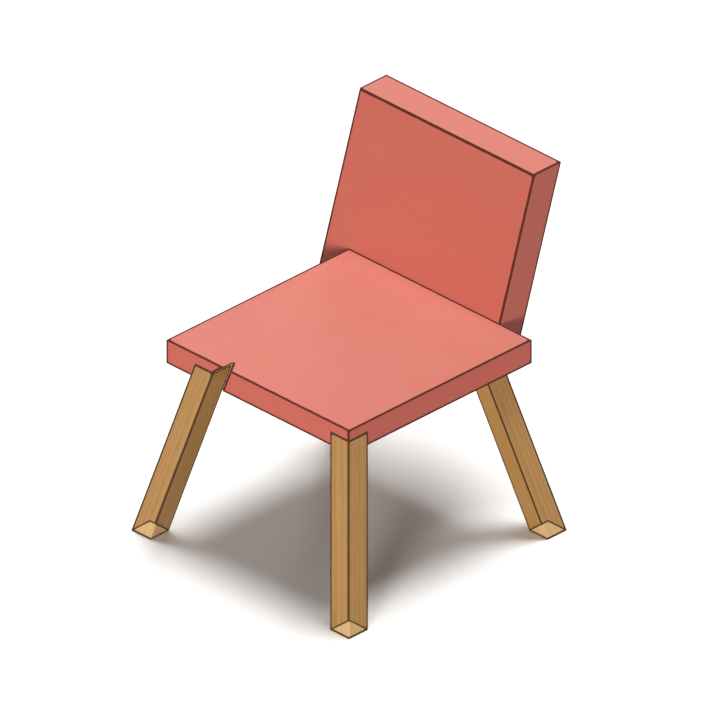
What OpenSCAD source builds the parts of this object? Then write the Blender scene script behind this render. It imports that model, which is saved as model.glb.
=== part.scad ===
// A low slab chair that has been wrenched out of square: a painted seat board and a painted
// backrest board on four splayed legs of square stock. The backrest has slipped sideways in its
// housing in the seat's rear edge and sheared off the left stop, and the front left leg has torn
// the seat's front edge beside its head.
// Millimetres. +Z is up and the floor is z = 0. The front faces -Y, and right is +X.

/* [Seat] */
// Width of the seat board, from side to side
seat_w = 480; // [400:1:580]
// Depth of the seat board, from front to rear, on its top
seat_d = 480; // [400:1:580]
// Thickness of the seat board
seat_t = 50; // [42:1:62]
// Height of the seat's top above the floor
seat_h = 408; // [330:1:490]
// Width of the square stop at the right end of the backrest's housing
rear_stop = 10; // [6:1:20]

/* [Backrest] */
// Width of the backrest board
back_w = 459; // [380:1:552]
// Thickness of the backrest board, measured level
back_t = 70; // [50:1:90]
// Height of the backrest's top above the seat
back_rise = 282; // [200:2:400]
// How far the backrest hangs below the seat's underside
back_drop = 15; // [8:1:40]
// Slope of the backrest away from upright, in degrees
back_rake = 17.75; // [5:0.25:24]
// How far the backrest has slipped towards -X from the seat's middle
back_slip = 73; // [0:1:100]

/* [Legs] */
// Side of the legs' square stock
leg_s = 50; // [40:1:62]
// From the seat's edges out to the middle of each foot
foot_reach = 21; // [0:1:60]
// From the seat's edges in to the outer faces of the rear legs' heads
rear_head_inset = 38; // [20:1:60]
// From the seat's top down to the front legs' heads
front_head_drop = 20; // [16:1:24]
// From the seat's left edge in to the front left leg's head
front_left_inset = 75; // [40:1:110]
// From the seat's right edge in to the front right leg's head
front_right_inset = 0; // [0:1:60]

/* [Torn seat edge] */
// How far the tear runs along the front edge from the front left leg's head
tear_run = 34; // [20:1:60]
// Sideways lean of the torn wall, in millimetres per millimetre of height
tear_lean = 0.39; // [0:0.01:0.6]
// Slope of the tear's roof above the head, in degrees
tear_pitch = 39; // [25:1:60]

/* [Dowels] */
// Diameter of the front legs' dowels
front_dowel_d = 10; // [8:1:12]
// Length of the front legs' dowels
front_dowel_l = 50; // [36:2:60]
// Diameter of the rear legs' dowels
rear_dowel_d = 12; // [8:1:14]
// Length of the rear legs' dowels
rear_dowel_l = 60; // [40:2:64]
// Diameter of the backrest's dowels
back_dowel_d = 12; // [8:1:14]
// Length of the backrest's dowels
back_dowel_l = 76; // [50:2:90]
// Height of the backrest's dowels above the seat's underside, where they cross the joint
back_dowel_rise = 20; // [16:1:24]
// Distance between the two dowels of one leg
leg_dowel_pitch = 24; // [20:1:28]

/* [Fits] */
// Glue line beside a front leg's head, round each dowel, and between the seat and the backrest
glue_gap = 0.1; // [0.05:0.05:0.3]
// Room for glue beyond each end of a dowel
dowel_end_gap = 1; // [0.5:0.5:2]

/* [Hidden] */

seat_coral = "#d9806f";
back_coral = "#d0705f";
leg_tan = "#bd8f58";
dowel_beech = "#d9b98a";

LEFT = -1;
RIGHT = 1;
FRONT = -1;
REAR = 1;
round_fn = 64;
beyond = 1200; // longer than the chair, for cutting tools

// Heights
seat_under = seat_h - seat_t;
front_head_z = seat_h - front_head_drop;
back_top = seat_h + back_rise;
back_bottom = seat_under - back_drop;

// Backrest: its face stands a glue line behind the raked housing in the seat's rear edge
rake_slope = tan(back_rake);
back_left = -back_slip - back_w / 2;
back_right = back_left + back_w;
function rear_edge_y(z) = seat_d / 2 + (z - seat_h) * rake_slope;
function back_front_y(z) = rear_edge_y(z) + glue_gap;

// Legs: each runs in a straight line from the middle of its head to the middle of its foot
function foot_at(side, end) = [
    side * (seat_w / 2 + foot_reach),
    end * (seat_d / 2 + foot_reach),
    0
];
function rear_head_at(side) = [
    side * (seat_w / 2 - rear_head_inset - leg_s / 2),
    seat_d / 2 - rear_head_inset - leg_s / 2,
    seat_under
];
function front_head_at(side) = [
    side * (seat_w / 2 - (side == LEFT ? front_left_inset : front_right_inset) - leg_s / 2),
    -seat_d / 2 + leg_s / 2,
    front_head_z
];
function head_at(side, end) = end == FRONT ? front_head_at(side) : rear_head_at(side);
// The middle of a leg at height z
function leg_middle(side, end, z) =
    let (head = head_at(side, end), foot = foot_at(side, end))
    foot + (head - foot) * z / head.z;

// Torn edge: the corner of the front left leg's head that it starts from
tear_corner = front_head_at(LEFT) + [leg_s / 2, leg_s / 2, 0];
tear_splay = atan(tear_run / leg_s);
tear_tilt = atan(tear_lean * cos(tear_splay));

// Backrest dowels, spread over the width that the two boards share
shared_left = max(-seat_w / 2, back_left);
shared_right = min(seat_w / 2, back_right);
back_dowel_z = seat_under + back_dowel_rise;
back_dowel_count = 4;
function back_dowel_at(i) = [
    shared_left + (shared_right - shared_left) * (i - 0.5) / back_dowel_count,
    back_front_y(back_dowel_z),
    back_dowel_z
];

// The origin: under the middle of the whole chair's box
box_left = min(foot_at(LEFT, REAR).x - leg_s / 2, back_left);
box_right = max(foot_at(RIGHT, REAR).x + leg_s / 2, back_right);
box_front = foot_at(LEFT, FRONT).y - leg_s / 2;
box_rear = max(foot_at(LEFT, REAR).y + leg_s / 2, back_front_y(back_top) + back_t);
box_middle = [(box_left + box_right) / 2, (box_front + box_rear) / 2, 0];

// Draws its children in the chair's own frame
module in_frame() {
    translate(-box_middle) children();
}

// Runs a profile, drawn in Y and Z, along X from x0 to x1
module along_x(x0, x1) {
    translate([x0, 0, 0]) rotate([90, 0, 90]) linear_extrude(x1 - x0) children();
}

// Runs a profile, drawn in X and Z, both ways along Y
module along_y(length) {
    rotate([90, 0, 0]) linear_extrude(length, center = true) children();
}

// A bar whose level section is a square of the given side, from head to foot
module splayed_bar(head, foot, side) {
    h = side / 2;
    intersection() {
        along_y(beyond)
            polygon([[foot.x - h, foot.z], [foot.x + h, foot.z], [head.x + h, head.z], [head.x - h, head.z]]);
        along_x(-beyond / 2, beyond / 2)
            polygon([[foot.y - h, foot.z], [foot.y + h, foot.z], [head.y + h, head.z], [head.y - h, head.z]]);
    }
}

// A cylinder centred on a point, with its axis along a direction
module pin_along(middle, direction, diameter, length) {
    level = norm([direction.x, direction.y]);
    translate(middle)
        rotate([0, atan2(level, direction.z), atan2(direction.y, direction.x)])
            cylinder(h = length, d = diameter, center = true, $fn = round_fn);
}

// The pins below are dowels with no extra, and their bores with the glue gaps added
module front_leg_pin(side, i, extra = 0, extra_end = 0) {
    z = (seat_under + front_head_z) / 2;
    middle = leg_middle(side, FRONT, z);
    pin_along(middle + [(i - 1.5) * leg_dowel_pitch, leg_s / 2, 0], [0, 1, 0],
        front_dowel_d + 2 * extra, front_dowel_l + 2 * extra_end);
}

module rear_leg_pin(side, i, extra = 0, extra_end = 0) {
    head = rear_head_at(side);
    pin_along(head + [(i - 1.5) * leg_dowel_pitch, 0, 0], head - foot_at(side, REAR),
        rear_dowel_d + 2 * extra, rear_dowel_l + 2 * extra_end);
}

module back_pin(i, extra = 0, extra_end = 0) {
    pin_along(back_dowel_at(i), [0, -cos(back_rake), sin(back_rake)],
        back_dowel_d + 2 * extra, back_dowel_l + 2 * extra_end);
}

module front_leg_bores(side) {
    for (i = [1, 2]) front_leg_pin(side, i, glue_gap, dowel_end_gap);
}

module rear_leg_bores(side) {
    for (i = [1, 2]) rear_leg_pin(side, i, glue_gap, dowel_end_gap);
}

module back_bores() {
    for (i = [1 : back_dowel_count]) back_pin(i, glue_gap, dowel_end_gap);
}

// The stopped notch in the seat's edge that a front leg's head stands in
module front_notch(side) {
    splayed_bar(front_head_at(side), foot_at(side, FRONT), leg_s + 2 * glue_gap);
}

// The raked housing in the seat's rear edge, open at the left, where its stop is sheared off
module back_housing() {
    low = seat_under - seat_t;
    high = seat_h + seat_t;
    along_x(-beyond / 2, seat_w / 2 - rear_stop)
        polygon([
            [rear_edge_y(low), low], [seat_d, low], [seat_d, high], [rear_edge_y(high), high]
        ]);
}

// The wedge of wood that the front left leg's head has levered out of the seat's front edge
module torn_wedge() {
    intersection() {
        translate(tear_corner)
            rotate([0, tear_tilt, tear_splay])
                translate([-beyond, -beyond / 2, -beyond / 2])
                    cube(beyond);
        translate(tear_corner)
            rotate([0, -tear_pitch, 0])
                translate([-beyond / 2, -beyond / 2, -beyond])
                    cube(beyond);
        translate(tear_corner - [leg_s / 5, beyond, beyond / 2])
            cube(beyond);
    }
}

module seat() {
    color(seat_coral)
        difference() {
            translate([-seat_w / 2, -seat_d / 2, seat_under]) cube([seat_w, seat_d, seat_t]);
            back_housing();
            torn_wedge();
            for (side = [LEFT, RIGHT]) {
                front_notch(side);
                front_leg_bores(side);
                rear_leg_bores(side);
            }
            back_bores();
        }
}

module backrest() {
    color(back_coral)
        difference() {
            along_x(back_left, back_right)
                polygon([
                    [back_front_y(back_bottom), back_bottom],
                    [back_front_y(back_bottom) + back_t, back_bottom],
                    [back_front_y(back_top) + back_t, back_top],
                    [back_front_y(back_top), back_top]
                ]);
            back_bores();
        }
}

module front_leg(side) {
    color(leg_tan)
        difference() {
            splayed_bar(front_head_at(side), foot_at(side, FRONT), leg_s);
            front_leg_bores(side);
        }
}

module rear_leg(side) {
    color(leg_tan)
        difference() {
            splayed_bar(rear_head_at(side), foot_at(side, REAR), leg_s);
            rear_leg_bores(side);
        }
}

module front_leg_dowel(side, i) {
    color(dowel_beech) front_leg_pin(side, i);
}

module rear_leg_dowel(side, i) {
    color(dowel_beech) rear_leg_pin(side, i);
}

module back_dowel(i) {
    color(dowel_beech) back_pin(i);
}

in_frame() seat();
in_frame() backrest();
in_frame() front_leg(LEFT);  // front_left_leg
in_frame() front_leg(RIGHT);  // front_right_leg
in_frame() rear_leg(LEFT);  // rear_left_leg
in_frame() rear_leg(RIGHT);  // rear_right_leg
in_frame() front_leg_dowel(LEFT, 1);  // front_left_dowel_1
in_frame() front_leg_dowel(LEFT, 2);  // front_left_dowel_2
in_frame() front_leg_dowel(RIGHT, 1);  // front_right_dowel_1
in_frame() front_leg_dowel(RIGHT, 2);  // front_right_dowel_2
in_frame() rear_leg_dowel(LEFT, 1);  // rear_left_dowel_1
in_frame() rear_leg_dowel(LEFT, 2);  // rear_left_dowel_2
in_frame() rear_leg_dowel(RIGHT, 1);  // rear_right_dowel_1
in_frame() rear_leg_dowel(RIGHT, 2);  // rear_right_dowel_2
in_frame() back_dowel(1);  // back_dowel_1
in_frame() back_dowel(2);  // back_dowel_2
in_frame() back_dowel(3);  // back_dowel_3
in_frame() back_dowel(4);  // back_dowel_4
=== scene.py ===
"""The looks of a low slab chair that has been wrenched out of square.

Two coral boards, the seat and the backrest, stand on four splayed legs of square stock. The
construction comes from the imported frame. Each board and leg is drawn again here as a timber with
eased arrises and a worn finish, bored and notched as its solid is. The tear beside the front
left leg's head gets its broken fibres.
"""

from __future__ import annotations

import logging
import math
import random
import sys
from collections.abc import Callable, Iterable, Sequence
from dataclasses import dataclass, field, replace
from enum import Enum
from functools import partial

import bmesh
import bpy
import numpy as np
from mathutils import Matrix, Vector, noise

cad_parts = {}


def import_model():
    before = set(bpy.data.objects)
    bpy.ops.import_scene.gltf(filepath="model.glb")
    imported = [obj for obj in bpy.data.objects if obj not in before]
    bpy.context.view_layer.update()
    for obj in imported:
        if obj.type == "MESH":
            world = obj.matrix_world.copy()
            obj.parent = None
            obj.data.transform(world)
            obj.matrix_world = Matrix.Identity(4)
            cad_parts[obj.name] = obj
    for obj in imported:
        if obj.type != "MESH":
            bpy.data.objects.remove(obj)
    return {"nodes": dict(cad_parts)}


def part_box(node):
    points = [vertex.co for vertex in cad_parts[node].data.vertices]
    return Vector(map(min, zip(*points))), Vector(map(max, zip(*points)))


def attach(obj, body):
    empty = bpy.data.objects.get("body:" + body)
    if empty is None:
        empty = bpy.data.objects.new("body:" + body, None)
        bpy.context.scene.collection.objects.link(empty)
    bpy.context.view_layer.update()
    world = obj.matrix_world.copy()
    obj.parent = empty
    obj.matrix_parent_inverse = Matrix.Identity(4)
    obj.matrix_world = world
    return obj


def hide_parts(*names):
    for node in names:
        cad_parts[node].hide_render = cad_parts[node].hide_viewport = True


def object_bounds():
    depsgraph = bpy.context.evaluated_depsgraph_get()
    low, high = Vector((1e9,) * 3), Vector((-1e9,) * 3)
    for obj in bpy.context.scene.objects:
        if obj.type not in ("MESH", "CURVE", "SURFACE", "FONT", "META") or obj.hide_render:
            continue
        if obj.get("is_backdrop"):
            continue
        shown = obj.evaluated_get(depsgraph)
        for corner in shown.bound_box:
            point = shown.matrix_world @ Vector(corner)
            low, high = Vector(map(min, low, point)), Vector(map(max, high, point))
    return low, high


log = logging.getLogger("slab_chair")

MM = 0.001

# Attributes that the finishes read from the timbers' vertices
TIMBER = "timber"  # a place in the piece's own stock, with Z along the grain, in metres
FROM_ARRIS = "from_arris"  # distance from the nearest arris, in metres
BARE = "bare"  # how far inside each of the two edges of a foot's bare patch, in metres

# Sockets of a Mix node that mixes colours
MIX_A, MIX_B, MIX_RESULT = 6, 7, 2

WAVE_BAND = 0.314  # width of one band of a Wave node at a scale of 1, in metres
SAME_PLACE = 0.001 * MM  # two vertices nearer than this are one
AXES = (Vector((1, 0, 0)), Vector((0, 1, 0)), Vector((0, 0, 1)))

Box = tuple[Vector, Vector]
Plane = tuple[Vector, Vector]  # a place on the plane, and the plane's normal
AddNode = Callable[..., bpy.types.Node]  # add_node() for one tree


# ---- Shader nodes ----


def linear(hex_colour: str) -> tuple[float, float, float, float]:
    """Turns an sRGB hex colour to linear red, green, blue and a full alpha.

    Args:
        hex_colour: the colour as "#rrggbb".

    Returns:
        The linear colour.
    """
    channels = (int(hex_colour[i : i + 2], 16) / 255 for i in (1, 3, 5))
    return (*(c / 12.92 if c <= 0.04045 else ((c + 0.055) / 1.055) ** 2.4 for c in channels), 1.0)


def add_node(
    tree: bpy.types.NodeTree, kind: str, inputs: dict | None = None, **settings: object
) -> bpy.types.Node:
    """Adds a node with its settings, its inputs' values and its links.

    Args:
        tree: the node tree that the node goes in.
        kind: the node's type, without its "ShaderNode" prefix.
        inputs: each input's name or number, with its value or the socket that it is linked from.
        settings: the node's own properties.

    Returns:
        The node.
    """
    made = tree.nodes.new("ShaderNode" + kind)
    for name, value in settings.items():
        setattr(made, name, value)
    for key, value in (inputs or {}).items():
        if isinstance(value, bpy.types.NodeSocket):
            tree.links.new(value, made.inputs[key])
        else:
            made.inputs[key].default_value = value
    return made


def new_material(name: str) -> tuple[bpy.types.Material, AddNode]:
    """Makes an empty material.

    Args:
        name: the material's name.

    Returns:
        The material, and what adds a node to it.
    """
    material = bpy.data.materials.new(name)
    material.use_nodes = True
    material.node_tree.nodes.clear()
    return material, partial(add_node, material.node_tree)


# ---- Finishes ----


@dataclass(frozen=True)
class CoralPaint:
    """Eggshell oil paint, brushed along the grain of a solid board.

    It gives the eye a low sheen over faint brush furrows with the grain standing through them, a
    paler, greyer colour on the faces that look up, which is painted light and sheen, a darker,
    duller colour on those that look down, and arrises rubbed through to dark old wood in a thin
    uneven line. A run is how many times as long as wide a pattern's marks are, along the grain.
    """

    name: str = "coral_eggshell_paint"
    colour: str = "#cc6659"
    thin_colour: str = "#c35e4f"
    lit_top_colour: str = "#c87669"
    dull_colour: str = "#935647"
    # Painted light and sheen: the colour of the faces that look up
    grimy_colour: str = "#9f4534"
    worn_colour: str = "#5b2416"
    worn_dark_colour: str = "#41180c"
    roughness: float = 0.5
    brush_width: float = 3.2 * MM
    brush_run: float = 25
    ring_width: float = 9 * MM
    ring_run: float = 25 / 3
    cloud_width: float = 111.1 * MM
    worn_width: float = 4.6 * MM
    worn_blur: float = 0.25 * MM
    grime_reach: float = 1.5 * MM
    # How wide each ripple of the worn line's edge is, and how far it strays
    ripples: tuple[tuple[float, float], ...] = (
        (22.22 * MM, 1.8 * MM),
        (3.846 * MM, 1.1 * MM),
    )

    def material(self) -> bpy.types.Material:
        """Builds the painted wood material.

        Returns:
            The material.
        """
        material, add = new_material(self.name)
        timber = add("Attribute", attribute_name=TIMBER).outputs["Vector"]
        arris = add("Attribute", attribute_name=FROM_ARRIS).outputs["Fac"]

        along = add("Mapping", {"Vector": timber, "Scale": (1, 1, 1 / self.brush_run)})
        brush = add(
            "TexNoise", {"Vector": along.outputs[0], "Scale": 1 / self.brush_width, "Detail": 3.0}
        ).outputs[0]
        slow = add("Mapping", {"Vector": timber, "Scale": (1, 1, 1 / self.ring_run)})
        grain = add(
            "TexWave",
            {
                "Vector": slow.outputs[0],
                "Scale": WAVE_BAND / self.ring_width,
                "Distortion": 3.0,
                "Detail": 2.0,
                "Detail Scale": 1.4,
            },
            wave_type="RINGS",
            rings_direction="Z",
            wave_profile="SAW",
        ).outputs[1]
        clouds = add(
            "TexNoise", {"Vector": timber, "Scale": 1 / self.cloud_width, "Detail": 3.0}
        ).outputs[0]

        # The line worn along the arrises has a wavering, chipped edge
        from_line = arris
        for width, stray in self.ripples:
            ripple = add(
                "TexNoise", {"Vector": timber, "Scale": 1 / width, "Detail": 2.0}
            ).outputs[0]
            from_line = add(
                "Math", {0: ripple, 1: stray, 2: from_line}, operation="MULTIPLY_ADD"
            ).outputs[0]
        line = self.worn_width + sum(stray for _, stray in self.ripples) / 2
        worn = add(
            "MapRange",
            {
                "Value": from_line,
                "From Min": line - self.worn_blur,
                "From Max": line + self.worn_blur,
                "To Min": 1.0,
                "To Max": 0.0,
            },
            interpolation_type="SMOOTHSTEP",
        ).outputs[0]
        grime = add(
            "MapRange",
            {
                "Value": from_line,
                "From Min": line,
                "From Max": line + self.grime_reach,
                "To Min": 0.4,
                "To Max": 0.0,
            },
        ).outputs[0]
        clouded = add("MapRange", {"Value": clouds, "To Max": 0.35}).outputs[0]

        # Painted light: the faces that look up get a paler, greyer colour for the light and sheen
        # on them, a little patchy
        facing = add("SeparateXYZ", {0: add("TexCoord").outputs["Normal"]}).outputs["Z"]
        patchy = add("MapRange", {"Value": clouds, "To Min": 1.1, "To Max": 0.6}).outputs[0]
        painted_top_light = add(
            "MapRange", {"Value": facing, "From Min": 0.6, "From Max": 0.95, "To Max": patchy}
        ).outputs[0]
        # The faces that look down get a darker, duller colour
        downward = add(
            "MapRange", {"Value": facing, "From Min": -0.6, "From Max": -0.95, "To Max": 0.9}
        ).outputs[0]
        old_wood = add(
            "Mix",
            {0: brush, MIX_A: linear(self.worn_colour), MIX_B: linear(self.worn_dark_colour)},
            data_type="RGBA",
        ).outputs[MIX_RESULT]
        colour = linear(self.colour)
        for share, over in (
            (brush, linear(self.thin_colour)),
            (clouded, linear(self.thin_colour)),
            (painted_top_light, linear(self.lit_top_colour)),
            (downward, linear(self.dull_colour)),
            (grime, linear(self.grimy_colour)),
            (worn, old_wood),
        ):
            colour = add(
                "Mix", {0: share, MIX_A: colour, MIX_B: over}, data_type="RGBA"
            ).outputs[MIX_RESULT]

        sheen_break = add(
            "MapRange",
            {"Value": brush, "To Min": self.roughness - 0.07, "To Max": self.roughness + 0.07},
        ).outputs[0]
        roughness = add(
            "MapRange", {"Value": worn, "To Min": sheen_break, "To Max": 0.9}
        ).outputs[0]

        furrows = add("Bump", {"Height": brush, "Strength": 0.5, "Distance": 0.25 * MM}).outputs[0]
        standing_grain = add(
            "Bump", {"Height": grain, "Strength": 0.35, "Distance": 0.3 * MM, "Normal": furrows}
        ).outputs[0]
        film_edge = add(
            "Bump",
            {"Height": worn, "Strength": 0.8, "Distance": 0.2 * MM, "Normal": standing_grain},
            invert=True,
        ).outputs[0]
        shader = add(
            "BsdfPrincipled",
            {
                "Base Color": colour,
                "Roughness": roughness,
                "Normal": film_edge,
                "IOR": 1.45,
                "Specular IOR Level": 0.35,
            },
        )
        add("OutputMaterial", {"Surface": shader.outputs[0]})
        return material


@dataclass(frozen=True)
class VarnishedWood:
    """Plain-sawn hardwood under an amber varnish, its feet scuffed bare.

    It gives the eye long streaks of darker latewood, a low gloss, arrises darkened by handling,
    and pale dry wood at the foot with a dark tide line round it.
    """

    early_colour: str = "#bc8f51"
    late_colour: str = "#a5753e"
    arris_colour: str = "#462c10"
    bare_early_colour: str = "#e1bd8b"
    bare_late_colour: str = "#d7aa6f"
    roughness: float = 0.4
    ring_width: float = 7 * MM
    ring_run: float = 50 / 3
    fibre_width: float = 1.6 * MM
    fibre_run: float = 100 / 3
    worn_width: float = 4.4 * MM
    tide_width: float = 1.8 * MM
    rag_width: float = 6.667 * MM
    patch_rags: float = 2.4 * MM
    patch_blur: float = 0.3 * MM
    arris_rags: float = 1.6 * MM
    arris_blur: float = 0.25 * MM

    def material(self) -> bpy.types.Material:
        """Builds the varnished wood material.

        Returns:
            The material.
        """
        material, add = new_material("amber_varnished_hardwood")
        timber = add("Attribute", attribute_name=TIMBER).outputs["Vector"]
        arris = add("Attribute", attribute_name=FROM_ARRIS).outputs["Fac"]
        edges = add("SeparateXYZ", {0: add("Attribute", attribute_name=BARE).outputs["Vector"]})
        bare = add(
            "Math", {0: edges.outputs["X"], 1: edges.outputs["Y"]}, operation="MINIMUM"
        ).outputs[0]

        slow = add("Mapping", {"Vector": timber, "Scale": (1, 1, 1 / self.ring_run)})
        rings = add(
            "TexWave",
            {
                "Vector": slow.outputs[0],
                "Scale": WAVE_BAND / self.ring_width,
                "Distortion": 2.4,
                "Detail": 3.0,
                "Detail Scale": 1.2,
                "Detail Roughness": 0.6,
            },
            wave_type="RINGS",
            rings_direction="Z",
            wave_profile="SAW",
        ).outputs[1]
        along = add("Mapping", {"Vector": timber, "Scale": (1, 1, 1 / self.fibre_run)})
        fibres = add(
            "TexNoise", {"Vector": along.outputs[0], "Scale": 1 / self.fibre_width, "Detail": 3.0}
        ).outputs[0]
        figure = add("Math", {0: rings, 1: 0.6, 2: fibres}, operation="MULTIPLY_ADD").outputs[0]
        late = add("MapRange", {"Value": figure, "From Min": 0.3, "From Max": 1.25}).outputs[0]
        varnished = add(
            "Mix",
            {0: late, MIX_A: linear(self.early_colour), MIX_B: linear(self.late_colour)},
            data_type="RGBA",
        ).outputs[MIX_RESULT]
        dry = add(
            "Mix",
            {0: late, MIX_A: linear(self.bare_early_colour), MIX_B: linear(self.bare_late_colour)},
            data_type="RGBA",
        ).outputs[MIX_RESULT]

        # The edge of the bare patch, and the line along the arrises, are both a little ragged
        ragged = add(
            "TexNoise", {"Vector": timber, "Scale": 1 / self.rag_width, "Detail": 3.0}
        ).outputs[0]
        patch_edge = add(
            "Math", {0: ragged, 1: self.patch_rags, 2: bare}, operation="MULTIPLY_ADD"
        ).outputs[0]
        patch_zero = self.patch_rags / 2
        patch = add(
            "MapRange",
            {
                "Value": patch_edge,
                "From Min": patch_zero - self.patch_blur,
                "From Max": patch_zero + self.patch_blur,
            },
            interpolation_type="SMOOTHSTEP",
        ).outputs[0]
        off_edge = add("Math", {0: patch_edge, 1: patch_zero}, operation="SUBTRACT").outputs[0]
        away = add("Math", {0: off_edge}, operation="ABSOLUTE").outputs[0]
        tide = add(
            "MapRange",
            {
                "Value": away,
                "From Min": 0.7 * self.tide_width,
                "From Max": self.tide_width,
                "To Min": 1.0,
                "To Max": 0.0,
            },
        ).outputs[0]
        arris_edge = add(
            "Math", {0: ragged, 1: self.arris_rags, 2: arris}, operation="MULTIPLY_ADD"
        ).outputs[0]
        line = self.worn_width + self.arris_rags / 2
        rubbed = add(
            "MapRange",
            {
                "Value": arris_edge,
                "From Min": line - self.arris_blur,
                "From Max": line + self.arris_blur,
                "To Min": 1.0,
                "To Max": 0.0,
            },
        ).outputs[0]
        lines = add("Math", {0: tide, 1: rubbed}, operation="MAXIMUM").outputs[0]

        ground = add(
            "Mix", {0: patch, MIX_A: varnished, MIX_B: dry}, data_type="RGBA"
        ).outputs[MIX_RESULT]
        colour = add(
            "Mix", {0: lines, MIX_A: ground, MIX_B: linear(self.arris_colour)}, data_type="RGBA"
        ).outputs[MIX_RESULT]
        gloss = add(
            "MapRange",
            {"Value": figure, "To Min": self.roughness - 0.05, "To Max": self.roughness + 0.08},
        ).outputs[0]
        dulled = add("Math", {0: patch, 1: rubbed}, operation="MAXIMUM").outputs[0]
        roughness = add("MapRange", {"Value": dulled, "To Min": gloss, "To Max": 0.85}).outputs[0]
        relief = add("Bump", {"Height": figure, "Strength": 0.4, "Distance": 0.2 * MM}).outputs[0]
        film_edge = add(
            "Bump",
            {"Height": patch, "Strength": 0.7, "Distance": 0.15 * MM, "Normal": relief},
            invert=True,
        ).outputs[0]
        shader = add(
            "BsdfPrincipled",
            {
                "Base Color": colour,
                "Roughness": roughness,
                "Normal": film_edge,
                "IOR": 1.5,
                "Specular IOR Level": 0.4,
            },
        )
        add("OutputMaterial", {"Surface": shader.outputs[0]})
        return material


@dataclass(frozen=True)
class TornWood:
    """Raw wood where it has split: pale, dry and matt, with long fibres pulled up along it."""

    pale_colour: str = "#efd7b0"
    shadow_colour: str = "#c3986a"
    fibre_width: float = 1.1 * MM
    fibre_run: float = 12.5

    def material(self) -> bpy.types.Material:
        """Builds the torn wood material.

        Returns:
            The material.
        """
        material, add = new_material("raw_torn_wood")
        place = add("TexCoord").outputs["Object"]
        along = add("Mapping", {"Vector": place, "Scale": (1, 1 / self.fibre_run, 1)})
        fibres = add(
            "TexNoise",
            {
                "Vector": along.outputs[0],
                "Scale": 1 / self.fibre_width,
                "Detail": 4.0,
                "Roughness": 0.65,
            },
        ).outputs[0]
        stretched = add("MapRange", {"Value": fibres, "From Min": 0.3, "From Max": 0.7}).outputs[0]
        colour = add(
            "Mix",
            {0: stretched, MIX_A: linear(self.shadow_colour), MIX_B: linear(self.pale_colour)},
            data_type="RGBA",
        ).outputs[MIX_RESULT]
        relief = add("Bump", {"Height": fibres, "Strength": 0.7, "Distance": 0.4 * MM}).outputs[0]
        shader = add(
            "BsdfPrincipled",
            {"Base Color": colour, "Roughness": 0.85, "Normal": relief, "IOR": 1.45},
        )
        add("OutputMaterial", {"Surface": shader.outputs[0]})
        return material


@dataclass(frozen=True)
class DowelBeech:
    """Turned beech dowel: an even pinkish straw with the short dark flecks of its rays."""

    straw_colour: str = "#caac80"
    fleck_colour: str = "#a9824f"
    fleck_width: float = 0.8 * MM

    def material(self) -> bpy.types.Material:
        """Builds the dowel material.

        Returns:
            The material.
        """
        material, add = new_material("turned_beech")
        place = add("TexCoord").outputs["Object"]
        flecks = add(
            "TexNoise", {"Vector": place, "Scale": 1 / self.fleck_width, "Detail": 2.0}
        ).outputs[0]
        few = add("MapRange", {"Value": flecks, "From Min": 0.56, "From Max": 0.7}).outputs[0]
        colour = add(
            "Mix",
            {0: few, MIX_A: linear(self.straw_colour), MIX_B: linear(self.fleck_colour)},
            data_type="RGBA",
        ).outputs[MIX_RESULT]
        relief = add("Bump", {"Height": flecks, "Strength": 0.3, "Distance": 0.1 * MM}).outputs[0]
        shader = add("BsdfPrincipled", {"Base Color": colour, "Roughness": 0.6, "Normal": relief})
        add("OutputMaterial", {"Surface": shader.outputs[0]})
        return material


# ---- Joiner's steps ----


def merged_copy(node: str) -> bmesh.types.BMesh:
    """Copies a solid's mesh with its loose triangles merged.

    Args:
        node: the solid's name in the frame.

    Returns:
        The copy, which the caller frees.
    """
    bm = bmesh.new()
    bm.from_mesh(bpy.data.objects[node].data)
    bmesh.ops.remove_doubles(bm, verts=bm.verts, dist=SAME_PLACE)
    return bm


def squared_stock(node: str, lost_corners: Sequence[Vector] = ()) -> bmesh.types.BMesh:
    """Gives the plain squared-up timber that a solid was cut from, with no bores or notches.

    Args:
        node: the solid's name in the frame.
        lost_corners: the timber's corners that a notch has taken off the solid.

    Returns:
        The timber, with one face to each side, which the caller frees.
    """
    bm = merged_copy(node)
    bmesh.ops.delete(bm, geom=bm.edges[:], context="EDGES_FACES")
    for corner in lost_corners:
        bmesh.ops.create_vert(bm, co=corner)
    hull = bmesh.ops.convex_hull(bm, input=bm.verts)
    inside = [e for e in hull["geom_interior"] if isinstance(e, bmesh.types.BMVert)]
    bmesh.ops.delete(bm, geom=inside, context="VERTS")
    flatten(bm)
    return bm


def flatten(bm: bmesh.types.BMesh) -> None:
    """Joins the faces that lie in one plane, and drops the points on straight edges."""
    bmesh.ops.dissolve_limit(
        bm, angle_limit=math.radians(1), verts=bm.verts, edges=bm.edges, delimit={"MATERIAL"}
    )


def as_object(bm: bmesh.types.BMesh, name: str) -> bpy.types.Object:
    """Turns a bmesh into an object in the scene, and frees it.

    Args:
        bm: the bmesh.
        name: the object's name.

    Returns:
        The object, at the origin.
    """
    mesh = bpy.data.meshes.new(name)
    bm.to_mesh(mesh)
    bm.free()
    made = bpy.data.objects.new(name, mesh)
    bpy.context.scene.collection.objects.link(made)
    return made


def cut_away(piece: bpy.types.Object, cutters: Sequence[bpy.types.Object]) -> None:
    """Cuts each cutter's shape out of a piece, and removes the cutters.

    Args:
        piece: the object that is cut. Its mesh is replaced.
        cutters: closed objects, whose faces keep their material number on the cut.
    """
    for cutter in cutters:
        step = piece.modifiers.new("cut", "BOOLEAN")
        step.operation = "DIFFERENCE"
        step.solver = "EXACT"
        step.object = cutter
    whole = piece.data
    done = piece.evaluated_get(bpy.context.evaluated_depsgraph_get())
    piece.data = bpy.data.meshes.new_from_object(done)
    piece.modifiers.clear()
    bpy.data.meshes.remove(whole)
    for cutter in cutters:
        bpy.data.meshes.remove(cutter.data)


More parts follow.
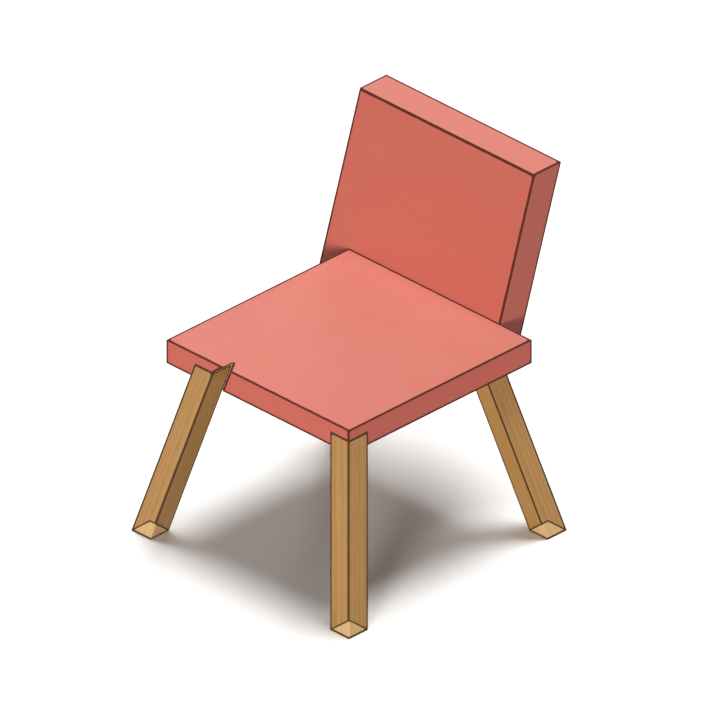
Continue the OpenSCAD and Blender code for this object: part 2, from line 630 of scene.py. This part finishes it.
def weld(piece: bpy.types.Object) -> None:
    """Joins the vertices that a ragged cut has left all but on top of each other."""
    bm = bmesh.new()
    bm.from_mesh(piece.data)
    bmesh.ops.remove_doubles(bm, verts=bm.verts, dist=SAME_PLACE)
    bm.to_mesh(piece.data)
    bm.free()


@dataclass(frozen=True)
class Arris:
    """A sharp outward edge of a timber, whose finish wears back on one of its two sides."""

    start: Vector
    end: Vector
    worn_side: Vector
    sound_side: Vector

    @staticmethod
    def edges(bm: bmesh.types.BMesh) -> list[bmesh.types.BMEdge]:
        """Finds the sharp outward edges of a timber."""
        sharp = math.radians(20)
        return [e for e in bm.edges if e.is_manifold and e.calc_face_angle_signed() > sharp]

    @classmethod
    def of(cls, bm: bmesh.types.BMesh, handled_from: Vector) -> list[Arris]:
        """Lists a timber's arrises.

        Args:
            bm: the timber.
            handled_from: the way that hands come from, which picks the side that wears.

        Returns:
            The arrises.
        """
        found = []
        for edge in cls.edges(bm):
            sound, worn = sorted(edge.link_loops, key=lambda c: c.face.normal.dot(handled_from))
            low, high = sorted((v.co.copy() for v in edge.verts), key=lambda end: end.z)
            found.append(cls(low, high, edge.calc_tangent(worn), edge.calc_tangent(sound)))
        return found

    def depth(self, points: np.ndarray, sound_share: float) -> np.ndarray:
        """Measures how far each point is from the arris.

        Args:
            points: one point to a row.
            sound_share: how many times as far a point counts on the side that wears less.

        Returns:
            One distance for each point.
        """
        start, run = np.array(self.start), np.array(self.end - self.start)
        share = np.clip((points - start) @ run / (run @ run), 0, 1)
        off = points - start - share[:, None] * run
        sound = off @ np.array(self.sound_side - self.worn_side) > 1e-7
        return np.linalg.norm(off, axis=1) * np.where(sound, sound_share, 1.0)


def slice_across(
    bm: bmesh.types.BMesh, plane: Plane, faces: Sequence[bmesh.types.BMFace] | None = None
) -> None:
    """Scores a plane's line across a timber's faces, which keep their shape.

    Args:
        bm: the timber.
        plane: the plane.
        faces: the faces that are scored, or none for all of them.
    """
    faces = bm.faces[:] if faces is None else list(faces)
    edges = {e for f in faces for e in f.edges}
    verts = {v for f in faces for v in f.verts}
    bmesh.ops.bisect_plane(
        bm, geom=[*verts, *edges, *faces], plane_co=plane[0], plane_no=plane[1]
    )


def store(mesh: bpy.types.Mesh, name: str, values: np.ndarray) -> None:
    """Stores a number or a vector for each vertex, where a finish can read it.

    Args:
        mesh: the mesh.
        name: the attribute's name.
        values: one number, or a row of three, for each vertex.
    """
    kind, key = ("FLOAT", "value") if values.ndim == 1 else ("FLOAT_VECTOR", "vector")
    attribute = mesh.attributes.new(name, kind, "POINT")
    attribute.data.foreach_set(key, values.astype(np.float32).ravel())


def places(mesh: bpy.types.Mesh) -> np.ndarray:
    """Gives a mesh's vertices, one to a row."""
    found = np.empty(len(mesh.vertices) * 3, np.float32)
    mesh.vertices.foreach_get("co", found)
    return found.reshape(-1, 3).astype(float)


def bore_for(dowel: str, gap: float, end_gap: float) -> bpy.types.Object:
    """Makes the cutter that bores a dowel's hole, with the glue's room round it.

    Args:
        dowel: the dowel's name in the frame.
        gap: the glue's thickness round the dowel.
        end_gap: the room beyond each end.

    Returns:
        The cutter.
    """
    bm = merged_copy(dowel)
    points = np.array([v.co for v in bm.verts])
    middle = (points.min(0) + points.max(0)) / 2
    axis = Vector(np.linalg.svd(points - middle)[2][0])
    for vert in bm.verts:
        out = vert.co - Vector(middle)
        along = out.dot(axis)
        radial = out - along * axis
        vert.co += math.copysign(end_gap, along) * axis
        if radial.length > gap:
            vert.co += radial.normalized() * gap
    return as_object(bm, "bore_" + dowel)


class Grain(Enum):
    """The way that a board's grain runs, as the order of the axes that puts it last."""

    SIDE_TO_SIDE = (1, 2, 0)
    FRONT_TO_REAR = (2, 0, 1)


@dataclass(frozen=True)
class Easing:
    """How a timber's arrises are taken off, and how far from them the finish can wear."""

    width: float = 1.2 * MM
    segments: int = 3
    margin: float = 8 * MM
    sound_share: float = 3.0

    def apply(self, bm: bmesh.types.BMesh, sides: Sequence[Plane]) -> None:
        """Rounds the arrises, and scores each side where the wear ends.

        Args:
            bm: the timber, whose sides are flat.
            sides: the timber's sides before it was notched.
        """
        rounded = bmesh.ops.bevel(
            bm,
            geom=Arris.edges(bm),
            offset=self.width,
            offset_type="OFFSET",
            affect="EDGES",
            segments=self.segments,
            profile=0.5,
            material=-1,
            clamp_overlap=True,
        )["faces"]
        round_faces = set(rounded)
        for face in bm.faces:
            face.smooth = face in round_faces
        for place, normal in sides:
            for depth in (self.margin / self.sound_share, self.margin):
                slice_across(bm, (place - depth * normal, normal))

    def store_wear(self, mesh: bpy.types.Mesh, arrises: Sequence[Arris]) -> None:
        """Stores how far each vertex is from the nearest arris."""
        depths = [arris.depth(places(mesh), self.sound_share) for arris in arrises]
        store(mesh, FROM_ARRIS, np.min(depths, axis=0))


# ---- The chair ----


@dataclass(frozen=True)
class Notch:
    """The room cut in a board for a piece that is let into it."""

    node: str
    past_right: float = 0.0
    torn: bool = False

    def cutter(self, glue_gap: float) -> bpy.types.Object:
        """Makes the cutter, the glue's thickness wider than the piece on every side.

        Args:
            glue_gap: the glue's thickness.

        Returns:
            The cutter. Its faces are in the second material if the glue has torn the notch.
        """
        bm = squared_stock(self.node)
        for end in (min, max):
            level = end(v.co.z for v in bm.verts)
            corners = [v for v in bm.verts if abs(v.co.z - level) < MM]
            middle = sum((v.co for v in corners), Vector()) / len(corners)
            for vert in corners:
                right = vert.co.x > middle.x
                vert.co.x += glue_gap + self.past_right if right else -glue_gap
                vert.co.y += math.copysign(glue_gap, vert.co.y - middle.y)
        for face in bm.faces:
            face.material_index = int(self.torn)
        return as_object(bm, "notch_" + self.node)


@dataclass
class Joinery:
    """The clearances of the glued joints, as the solids have them."""

    glue_gap: float = 0.1 * MM
    end_gap: float = 1 * MM
    easing: Easing = field(default_factory=Easing)

    def bores(self, dowels: Iterable[str]) -> list[bpy.types.Object]:
        """Makes a cutter for each dowel's bore."""
        return [bore_for(name, self.glue_gap, self.end_gap) for name in dowels]


@dataclass
class TornEdge:
    """The wedge that the front left leg's head has levered out of the seat's front edge.

    The split starts at the head's inner rear corner. Its wall runs forward and outward from
    there, and its roof climbs from the head's top to the seat's top.
    """

    leg: str = "front_left_leg"
    run: float = 34 * MM
    depth: float = 50 * MM
    lean: float = 0.39
    pitch: float = math.radians(39)
    overlap: float = 10 * MM
    cell: float = 2 * MM
    rim_margin: float = 9 * MM
    rim_cell: float = 2.5 * MM
    roughness: float = 1.3 * MM
    smooth_start: float = 14 * MM
    # Across and along the grain, in millimetres
    ridge: tuple[float, float] = (5, 26)
    fibre: tuple[float, float] = (1.9, 14)
    splinters: int = 14
    seed: int = 5
    # The least and the most, in millimetres
    splinter_length: tuple[float, float] = (4, 8)
    splinter_width: tuple[float, float] = (0.8, 1.6)
    up_the_wall: tuple[float, float] = (-26, 4)
    out_on_the_roof: tuple[float, float] = (2, 18)

    @property
    def corner(self) -> Vector:
        """The head's inner rear corner, at its top, where the split starts."""
        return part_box(self.leg)[1]

    @property
    def wall_normal(self) -> Vector:
        """The way out of the hollow through its wall."""
        splay = math.atan(self.run / self.depth)
        tilt = math.atan(self.lean * math.cos(splay))
        return Vector(
            (math.cos(tilt) * math.cos(splay), math.cos(tilt) * math.sin(splay), -math.sin(tilt))
        )

    @property
    def roof_normal(self) -> Vector:
        """The way out of the hollow through its roof."""
        return Vector((-math.sin(self.pitch), 0, math.cos(self.pitch)))

    def rim(self, board: Box) -> list[Arris]:
        """Lists the edges of the break on the board's front and top, where the paint has flaked.

        Args:
            board: the box round the board.

        Returns:
            The edges, each worn on its painted side.
        """
        front, top, under = board[0].y, board[1].z, board[0].z
        corner, wall, roof = self.corner, self.wall_normal, self.roof_normal

        def on_wall(y: float, z: float) -> Vector:
            """Gives the place on the wall at a depth and a height."""
            off_x = -(wall.y * (y - corner.y) + wall.z * (z - corner.z)) / wall.x
            return Vector((corner.x + off_x, y, z))

        head = Vector((corner.x, front, corner.z))
        roof_end = Vector((corner.x + (top - corner.z) / math.tan(self.pitch), front, top))
        apex_off = wall.x * (roof_end.x - corner.x) + wall.z * (top - corner.z)
        apex = Vector((roof_end.x, corner.y - apex_off / wall.y, top))
        wall_end, wall_foot = on_wall(front, top), on_wall(front, under)
        along_wall = (wall_end - apex).normalized()
        edges = (
            (head, roof_end, roof),
            (roof_end, apex, Vector((-1, 0, 0))),
            (apex, wall_end, Vector((-along_wall.y, along_wall.x, 0))),
            (wall_end, wall_foot, Vector((wall.x, 0, wall.z)).normalized()),
        )
        return [Arris(start, end, painted, -painted) for start, end, painted in edges]

    def refine(self, bm: bmesh.types.BMesh, board: Box) -> None:
        """Scores the board's faces into small cells round the break, so the wear follows its rim.

        Args:
            bm: the board.
            board: the box round it.
        """
        ends = [end for arris in self.rim(board) for end in (arris.start, arris.end)]
        low, high = (
            Vector(pick(end[axis] for end in ends) for axis in range(3)) for pick in (min, max)
        )
        low -= Vector((1, 1, 1)) * self.rim_margin
        high += Vector((1, 1, 1)) * self.rim_margin

        def cells() -> list[bmesh.types.BMFace]:
            """Lists the faces round the break."""
            middles = ((face, face.calc_center_median()) for face in bm.faces)
            return [f for f, m in middles if all(low[i] < m[i] < high[i] for i in range(3))]

        for normal in AXES:
            for end in (low, high):
                slice_across(bm, (end, normal))
        for axis, normal in enumerate(AXES):
            for step in range(1, int((high - low)[axis] / self.rim_cell)):
                slice_across(bm, (low + normal * step * self.rim_cell, normal), cells())

    def raggedness(self, place: Vector) -> float:
        """How far the broken surface stands off its plane, ridged along the grain.

        Args:
            place: a point on the plane.

        Returns:
            The distance out of the hollow, which fades to nothing at the split's start.
        """
        off = place - self.corner
        ridges, fibres = (
            noise.noise(Vector((off.x / across, off.y / along, off.z / across)) / MM + shift)
            for (across, along), shift in ((self.ridge, Vector()), (self.fibre, Vector((7, 3, 1))))
        )
        fade = min(1.0, off.length / self.smooth_start)
        return self.roughness * fade * (ridges + 0.5 * fibres)

    def cutter(self) -> bpy.types.Object:
        """Makes the ragged wedge that is cut out of the seat.

        Returns:
            The cutter, with its faces in the second material.
        """
        corner = self.corner
        low = corner - Vector((self.overlap, 1.5 * self.depth, 1.2 * self.depth))
        high = corner + Vector((1.5 * self.run, 0, 0.8 * self.depth))
        bm = bmesh.new()
        bmesh.ops.create_cube(bm, size=1)
        bmesh.ops.scale(bm, verts=bm.verts, vec=high - low)
        bmesh.ops.translate(bm, verts=bm.verts, vec=(low + high) / 2)
        for normal in (self.wall_normal, self.roof_normal):
            everything = bm.verts[:] + bm.edges[:] + bm.faces[:]
            cut = bmesh.ops.bisect_plane(
                bm, geom=everything, plane_co=corner, plane_no=normal, clear_outer=True
            )
            rim = [e for e in cut["geom_cut"] if isinstance(e, bmesh.types.BMEdge)]
            bmesh.ops.edgenet_fill(bm, edges=rim)
        for axis, normal in enumerate(AXES):
            for step in range(1, int((high - low)[axis] / self.cell)):
                everything = bm.verts[:] + bm.edges[:] + bm.faces[:]
                bmesh.ops.bisect_plane(
                    bm, geom=everything, plane_co=low + normal * step * self.cell, plane_no=normal
                )
        bmesh.ops.triangulate(bm, faces=bm.faces)
        bmesh.ops.recalc_face_normals(bm, faces=bm.faces)
        for vert in bm.verts:
            off = vert.co - corner
            out = self.raggedness(vert.co)
            for normal in (self.wall_normal, self.roof_normal):
                if abs(off.dot(normal)) < 0.01 * MM:
                    vert.co += out * normal
        for face in bm.faces:
            face.material_index = 1
            face.smooth = False
        return as_object(bm, "torn_wedge")

    def splinter_mesh(self) -> bpy.types.Object:
        """Makes the slivers that still stand on the wall and the roof, along the grain.

        Returns:
            One object that holds them all.
        """
        draw = random.Random(self.seed)
        corner, wall, roof = self.corner, self.wall_normal, self.roof_normal
        forward = Vector((self.run, -self.depth, 0)).normalized()
        up_wall = wall.cross(forward).normalized()
        if up_wall.z < 0:
            up_wall.negate()
        bm = bmesh.new()
        for index in range(self.splinters):
            length = draw.uniform(*self.splinter_length) * MM
            width = draw.uniform(*self.splinter_width) * MM
            reach = draw.uniform(0.25, 0.95) * Vector((self.run, self.depth)).length
            if index % 3:
                foot = corner + forward * reach + up_wall * draw.uniform(*self.up_the_wall) * MM
            else:
                out = draw.uniform(*self.out_on_the_roof) * MM
                foot = corner + Vector((out, -reach * 0.8, 0))
                foot.z += (foot.x - corner.x) * math.tan(self.pitch)
            for normal in (wall, roof):
                foot -= max(0.0, (foot - corner).dot(normal)) * normal
            aim = Vector((draw.uniform(0.1, 0.5), -1, draw.uniform(-0.2, 0.2))).normalized()
            sliver = bmesh.ops.create_cone(
                bm, cap_ends=True, segments=4, radius1=width, radius2=0.08 * width, depth=length
            )["verts"]
            bmesh.ops.scale(bm, verts=sliver, vec=(1, 0.45, 1))
            bmesh.ops.translate(bm, verts=sliver, vec=(0, 0, 0.15 * length))
            turn = aim.to_track_quat("Z", "Y").to_matrix().to_4x4()
            spin = Matrix.Rotation(draw.uniform(0, math.pi), 4, "Z")
            bmesh.ops.transform(bm, verts=sliver, matrix=Matrix.Translation(foot) @ turn @ spin)
        return as_object(bm, "torn_splinters")


@dataclass
class Board:
    """A painted board that stands for one solid."""

    node: str
    name: str
    grain: Grain
    pith: Vector
    dowels: tuple[str, ...]
    notches: tuple[Notch, ...] = ()
    housings: tuple[Notch, ...] = ()
    lost_corners: tuple[Vector, ...] = ()
    tear: TornEdge | None = None
    handled_from: Vector = field(default_factory=lambda: Vector((1, -1.1, 1.2)))

    def build(self, joinery: Joinery, finishes: Sequence[bpy.types.Material]) -> bpy.types.Object:
        """Squares, notches, eases and bores the board, and dresses it.

        Args:
            joinery: the clearances of its joints.
            finishes: the paint, and the torn wood if the board has a tear.

        Returns:
            The board, riding on the chair.
        """
        stock = squared_stock(self.node, self.lost_corners)
        arrises = Arris.of(stock, self.handled_from)
        sides = [(f.calc_center_median(), f.normal.copy()) for f in stock.faces]
        board = as_object(stock, self.name)
        for finish in finishes:
            board.data.materials.append(finish)
        cut_away(board, [notch.cutter(joinery.glue_gap) for notch in self.notches])
        bm = bmesh.new()
        bm.from_mesh(board.data)
        flatten(bm)
        joinery.easing.apply(bm, sides)
        cutters = [housing.cutter(joinery.glue_gap) for housing in self.housings]
        cutters += joinery.bores(self.dowels)
        if self.tear:
            self.tear.refine(bm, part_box(self.node))
            arrises += self.tear.rim(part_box(self.node))
            cutters.append(self.tear.cutter())
        bm.to_mesh(board.data)
        bm.free()
        cut_away(board, cutters)
        weld(board)
        joinery.easing.store_wear(board.data, arrises)
        from_pith = places(board.data) - np.array(self.pith)
        store(board.data, TIMBER, from_pith[:, self.grain.value])
        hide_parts(self.node)
        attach(board, "root")
        return board


@dataclass
class Leg:
    """A splayed leg of square stock that stands for one solid."""

    node: str
    name: str
    pith: Vector
    dowels: tuple[str, ...]
    scuff_slant: float = 1.2247
    handled_from: Vector = field(default_factory=lambda: Vector((1, -1.1, 0)))

    def bare_height(self, lean: Vector, side: float) -> float:
        """Gives how far the bare patch climbs the front right arris."""
        return side / (self.scuff_slant + max(-lean.x, lean.y))

    def varnished_arrises(
        self, arrises: Sequence[Arris], foot: Vector, lean: Vector, side: float
    ) -> list[Arris]:
        """Shortens the front right arris by the bare patch, which has no varnish to wear.

        Args:
            arrises: where the leg's arrises are.
            foot: the middle of the leg's foot.
            lean: how far the leg leans for each metre that it rises.
            side: how wide the leg is.

        Returns:
            The arrises that have varnish on them.
        """
        bare_height = self.bare_height(lean, side)
        kept = []
        for arris in arrises:
            low, rise = arris.start, arris.end.z - arris.start.z
            if rise > side and low.x > foot.x and low.y < foot.y:
                arris = replace(arris, start=low.lerp(arris.end, bare_height / rise))
            kept.append(arris)
        return kept

    def scuffed(self, points: np.ndarray, foot: Vector, side: float) -> np.ndarray:
        """Measures the bare patch, where a scuff slanting down from the front right wore the foot.

        Args:
            points: one point to a row.
            foot: the middle of the leg's foot.
            side: how wide the leg is.

        Returns:
            How far each point is inside the patch's left edge and its right edge, and a nought.
        """
        off = points - np.array(foot)
        slanted = self.scuff_slant * off[:, 2]
        inside = np.column_stack(
            [side / 2 + off[:, 0] - slanted, side / 2 - off[:, 1] - slanted, 0 * slanted]
        )
        return inside / math.hypot(1, self.scuff_slant)

    def build(self, joinery: Joinery, finish: bpy.types.Material) -> bpy.types.Object:
        """Squares, eases and bores the leg, and dresses it.

        Args:
            joinery: the clearances of its joints.
            finish: the varnished wood.

        Returns:
            The leg, riding on the chair.
        """
        bm = squared_stock(self.node)
        ends = []
        for end in (min, max):
            level = end(v.co.z for v in bm.verts)
            corners = [v.co for v in bm.verts if abs(v.co.z - level) < MM]
            ends.append(sum(corners, Vector()) / len(corners))
        foot, head = ends
        side = 2 * abs(corners[0].x - head.x)
        lean = (head - foot) / (head.z - foot.z)
        arrises = Arris.of(bm, self.handled_from)
        joinery.easing.apply(bm, [(f.calc_center_median(), f.normal.copy()) for f in bm.faces])
        # The wear is stored at vertices, so it needs some where the bare patch ends
        top = self.bare_height(lean, side)
        for height in (top - joinery.easing.margin, top):
            slice_across(bm, (Vector((0, 0, foot.z + height)), Vector((0, 0, 1))))
        leg = as_object(bm, self.name)
        leg.data.materials.append(finish)
        cut_away(leg, joinery.bores(self.dowels))
        varnished = self.varnished_arrises(arrises, foot, lean, side)
        joinery.easing.store_wear(leg.data, varnished)
        points = places(leg.data)
        height = points[:, 2:] - foot.z
        across = points - np.array(foot) - height * np.array(lean)
        store(leg.data, TIMBER, across + height * np.array((0, 0, 1)) - np.array(self.pith))
        store(leg.data, BARE, self.scuffed(points, foot, side))
        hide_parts(self.node)
        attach(leg, "root")
        return leg


class Chair:
    """The whole chair: its boards, its legs, its dowels and its tear."""

    rear_stop = 10 * MM  # the square stop at the right end of the backrest's housing

    def __init__(self, nodes: dict[str, bpy.types.Object]) -> None:
        """Lists the chair's pieces.

        Args:
            nodes: the frame's solids by name.
        """
        self.nodes = nodes
        self.joinery = Joinery()
        self.tear = TornEdge()
        back_dowels = self.dowels_of("back")
        seat_low, seat_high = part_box("seat")
        back_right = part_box("backrest")[1].x
        # The piths lie outside the boards and the legs, which were sawn clear of the heart
        under_seat = Vector(((seat_low.x + seat_high.x) / 2, 0, seat_low.z - 90 * MM))
        self.seat = Board(
            node="seat",
            name="seat_board",
            grain=Grain.FRONT_TO_REAR,
            pith=under_seat,
            dowels=tuple(n for n in nodes if "dowel" in n),
            notches=(Notch("front_left_leg"), Notch("front_right_leg")),
            housings=(
                Notch("backrest", seat_high.x - self.rear_stop - back_right, torn=True),
            ),
            lost_corners=(
                Vector((seat_high.x, seat_low.y, seat_low.z)),
                Vector((seat_low.x, seat_high.y, seat_low.z)),
            ),
            tear=self.tear,
        )
        self.backrest = Board(
            node="backrest",
            name="backrest_board",
            grain=Grain.SIDE_TO_SIDE,
            pith=Vector((0, seat_high.y + 200 * MM, seat_high.z + 60 * MM)),
            dowels=back_dowels,
        )
        piths = (
            Vector((34, 22, 0)),
            Vector((-30, 41, 60)),
            Vector((45, -18, 130)),
            Vector((-24, -36, 210)),
        )
        whereabouts = ("front_left", "front_right", "rear_left", "rear_right")
        self.legs = [
            Leg(where + "_leg", where + "_leg_stock", pith * MM, self.dowels_of(where))
            for where, pith in zip(whereabouts, piths)
        ]

    def dowels_of(self, place: str) -> tuple[str, ...]:
        """Names the dowels of one joint."""
        return tuple(sorted(n for n in self.nodes if n.startswith(place + "_dowel")))

    def build(self) -> None:
        """Builds every piece and reports it."""
        paint = CoralPaint()
        # The backrest's paint is a darker, less red copy of the seat's: painted shade that evens
        # out the red light that the seat throws on its front
        shaded_copy = replace(
            paint, name="coral_eggshell_paint_leant_on", colour="#c26559", thin_colour="#b95d4f"
        )
        torn = TornWood().material()
        varnished, beech = VarnishedWood().material(), DowelBeech().material()
        made = [
            self.seat.build(self.joinery, (paint.material(), torn)),
            self.backrest.build(self.joinery, (shaded_copy.material(),)),
            *(leg.build(self.joinery, varnished) for leg in self.legs),
        ]
        splinters = self.tear.splinter_mesh()
        splinters.data.materials.append(torn)
        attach(splinters, "root")
        made.append(splinters)
        for name, node in self.nodes.items():
            if "dowel" in name:
                node.material_slots[0].material = beech
        for piece in made:
            log.info("%s: %d faces", piece.name, len(piece.data.polygons))


# ---- The studio ----


@dataclass(frozen=True)
class Lamp:
    """A broad, far lamp, told by what it gives a white surface that faces it."""

    name: str
    toward: tuple[float, float, float]
    level: float
    spread_degrees: float
    colour: str = "#ffffff"
    in_gloss: bool = True

    def hang(self) -> None:
        """Hangs the lamp so that its light comes from the given way."""
        data = bpy.data.lights.new(self.name, "SUN")
        data.energy = self.level * math.pi
        data.color = linear(self.colour)[:3]
        data.angle = math.radians(self.spread_degrees)
        lamp = bpy.data.objects.new(self.name, data)
        lamp.rotation_euler = Vector(self.toward).to_track_quat("Z", "Y").to_euler()
        lamp.visible_glossy = self.in_gloss
        bpy.context.scene.collection.objects.link(lamp)


@dataclass
class Studio:
    """A white floor and backdrop, soft plain light, and the camera."""

    azimuth: float = math.radians(45)
    elevation: float = math.radians(30)
    width: float = 1331.7 * MM
    aim_right: float = 18.4 * MM
    aim_down: float = 35.6 * MM
    distance: float = 4.0
    floor_size: float = 24.0
    floor_drop: float = 0.2 * MM
    floor_grey: float = 0.27
    sky_level: float = 0.07
    lamps: tuple[Lamp, ...] = (
        Lamp("overhead", (-0.02, 0.18, 1.0), 1.05, 28),
        Lamp("window", (0.48, -0.87, 0.13), 0.92, 15, "#fffdf5"),
        Lamp("reflector", (-0.62, 0.77, 0.13), 0.5, 15, "#fffdf5", in_gloss=False),
    )

    def set_camera(self) -> None:
        """Places the camera, which sees in parallel, on the seat's middle and a little off it."""
        low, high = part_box("seat")
        target = Vector(((low.x + high.x) / 2, low.y + (high.x - low.x) / 2, high.z))
        back = Vector(
            (
                math.sin(self.azimuth) * math.cos(self.elevation),
                -math.cos(self.azimuth) * math.cos(self.elevation),
                math.sin(self.elevation),
            )
        )
        turn = back.to_track_quat("Z", "Y").to_matrix()
        target += turn @ Vector((self.aim_right, -self.aim_down, 0))
        data = bpy.data.cameras.new("camera")
        data.type = "ORTHO"
        data.ortho_scale = self.width
        camera = bpy.data.objects.new("camera", data)
        camera.matrix_world = Matrix.Translation(target + back * self.distance) @ turn.to_4x4()
        bpy.context.scene.collection.objects.link(camera)
        bpy.context.scene.camera = camera

    def seen_directly(self, add: AddNode) -> bpy.types.NodeSocket:
        """Tells the rays that show the backdrop from the rays that light the chair.

        Args:
            add: what adds a node to the tree that asks.

        Returns:
            A socket that is 1 for the camera's, the gloss's and the glass's rays.
        """
        path = add("LightPath")
        glossy = add(
            "Math",
            {0: path.outputs["Is Camera Ray"], 1: path.outputs["Is Glossy Ray"]},
            operation="MAXIMUM",
        )
        return add(
            "Math",
            {0: glossy.outputs[0], 1: path.outputs["Is Transmission Ray"]},
            operation="MAXIMUM",
        ).outputs[0]

    def lay_floor(self) -> None:
        """Lays a floor that looks white and keeps the chair's shadow."""
        bm = bmesh.new()
        bmesh.ops.create_grid(bm, x_segments=1, y_segments=1, size=self.floor_size / 2)
        bmesh.ops.translate(bm, verts=bm.verts, vec=(0, 0, -self.floor_drop))
        floor = as_object(bm, "floor")
        material, add = new_material("white_floor")
        shown = self.seen_directly(add)
        grey = add(
            "BsdfDiffuse", {"Color": (self.floor_grey, self.floor_grey, self.floor_grey, 1)}
        )
        white = add("BsdfDiffuse", {"Color": (1, 1, 1, 1)})
        mixed = add("MixShader", {0: shown, 1: grey.outputs[0], 2: white.outputs[0]})
        add("OutputMaterial", {"Surface": mixed.outputs[0]})
        floor.data.materials.append(material)
        floor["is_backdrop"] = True

    def light(self) -> None:
        """Hangs the lamps, and fills the room with an even pale light."""
        world = bpy.data.worlds.new("room")
        world.use_nodes = True
        world.node_tree.nodes.clear()
        add = partial(add_node, world.node_tree)
        shown = self.seen_directly(add)
        strength = add(
            "MapRange", {"Value": shown, "To Min": self.sky_level, "To Max": 1.0}
        ).outputs[0]
        room = add("Background", {"Color": (1, 1, 1, 1), "Strength": strength})
        add("OutputWorld", {"Surface": room.outputs[0]})
        bpy.context.scene.world = world
        for lamp in self.lamps:
            lamp.hang()

    def build(self) -> None:
        """Sets the studio up."""
        bpy.context.scene.view_settings.view_transform = "Standard"
        self.set_camera()
        self.lay_floor()
        self.light()


def corners(box: Box) -> list[list[float]]:
    """Gives a box's two corners as plain lists of numbers."""
    return [[float(value) for value in corner] for corner in box]


def main() -> None:
    """Builds the chair round the frame, and the studio round the chair."""
    logging.basicConfig(level=logging.INFO, format="%(name)s: %(message)s", stream=sys.stdout)
    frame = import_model()
    cad_box = corners(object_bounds())
    Studio().build()
    Chair(frame["nodes"]).build()
    {"cad": cad_box, "visual": corners(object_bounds())}


if __name__ == "__main__":
    main()
